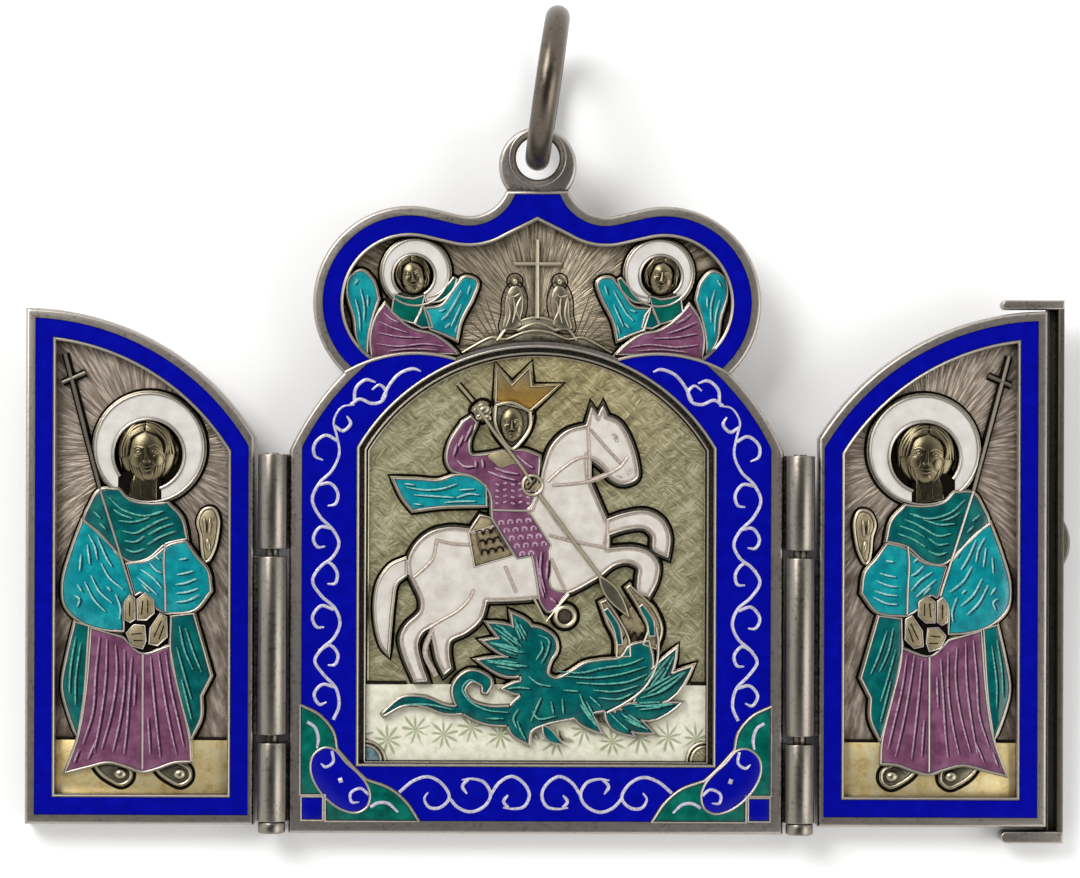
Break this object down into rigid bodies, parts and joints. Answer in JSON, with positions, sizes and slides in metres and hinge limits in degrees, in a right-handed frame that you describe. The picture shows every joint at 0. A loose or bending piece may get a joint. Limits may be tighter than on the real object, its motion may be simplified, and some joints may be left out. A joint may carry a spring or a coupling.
{
  "type": "folding triptych icon",
  "caption": "Folding silver triptych pendant with inlaid enamel figures, crowned centre panel, hinged quarter-arch wings, clasp and hanging ring.",
  "frame": {"origin": "under the middle of the whole, level with the lowest point of its ring, with the triptych open on its back", "axes": "+Z out of the face, +Y from the foot of the panel to the ring, +X across to the wing with the clasp"},
  "size_m": [0.0838, 0.067, 0.0134],
  "materials": {
    "oxidised_silver": "worn, dark in the hollows",
    "gilt_silver": "brushed, thin worn gilding",
    "blue_enamel": "polished opaque enamel",
    "green_enamel": "polished opaque enamel",
    "teal_enamel": "polished enamel over engraving",
    "turquoise_enamel": "polished enamel over engraving",
    "purple_enamel": "polished enamel over engraving",
    "white_enamel": "polished opaque enamel",
    "cream_enamel": "polished enamel with green tufts"
  },
  "bodies": {
    "centre": {"centre_plate": "oxidised_silver", "scene_plaque": "gilt_silver", "horse_fore_enamel": "white_enamel", "horse_hind_enamel": "white_enamel", "tail_enamel": "white_enamel", "cloak_enamel": "turquoise_enamel", "coat_enamel": "purple_enamel", "dragon_enamel": "teal_enamel", "ground_enamel": "cream_enamel", "border_left_enamel": "blue_enamel", "border_foot_enamel": "blue_enamel", "border_right_enamel": "blue_enamel", "left_corner_fan_enamel": "green_enamel", "right_corner_fan_enamel": "green_enamel", "left_corner_square_enamel": "blue_enamel", "right_corner_square_enamel": "blue_enamel", "crown_band_enamel": "blue_enamel", "left_angel_halo_enamel": "white_enamel", "left_angel_robe_enamel": "purple_enamel", "left_angel_outer_wing_enamel": "turquoise_enamel", "left_angel_inner_wing_enamel": "turquoise_enamel", "right_angel_halo_enamel": "white_enamel", "right_angel_robe_enamel": "purple_enamel", "right_angel_outer_wing_enamel": "turquoise_enamel", "right_angel_inner_wing_enamel": "turquoise_enamel", "left_hinge_pin": "oxidised_silver", "right_hinge_pin": "oxidised_silver"},
    "left_wing": {"left_wing_plate": "oxidised_silver", "left_wing_border_enamel": "blue_enamel", "left_halo_enamel": "white_enamel", "left_cape_enamel": "teal_enamel", "left_outer_sleeve_enamel": "turquoise_enamel", "left_inner_sleeve_enamel": "turquoise_enamel", "left_outer_mantle_enamel": "teal_enamel", "left_inner_mantle_enamel": "teal_enamel", "left_robe_enamel": "purple_enamel"},
    "right_wing": {"right_wing_plate": "oxidised_silver", "right_wing_border_enamel": "blue_enamel", "right_halo_enamel": "white_enamel", "right_cape_enamel": "teal_enamel", "right_outer_sleeve_enamel": "turquoise_enamel", "right_inner_sleeve_enamel": "turquoise_enamel", "right_outer_mantle_enamel": "teal_enamel", "right_inner_mantle_enamel": "teal_enamel", "right_robe_enamel": "purple_enamel", "clasp": "oxidised_silver"},
    "ring": {"suspension_ring": "oxidised_silver"}
  },
  "joints": [
    {"name": "left_wing_fold", "type": "hinge", "parent": "centre", "child": "left_wing", "pos_m": [-0.02209, -0.01794, 0.00676], "axis": [0, 1, 0], "range_deg": [-30, 178]},
    {"name": "right_wing_fold", "type": "hinge", "parent": "centre", "child": "right_wing", "pos_m": [0.02011, -0.01794, 0.00676], "axis": [0, -1, 0], "range_deg": [-30, 178]},
    {"name": "ring_swing", "type": "hinge", "parent": "centre", "child": "ring", "pos_m": [-0.00099, 0.02121, 0.00551], "axis": [0.9903, -0.1392, 0], "range_deg": [-40, 16]}
  ]
}
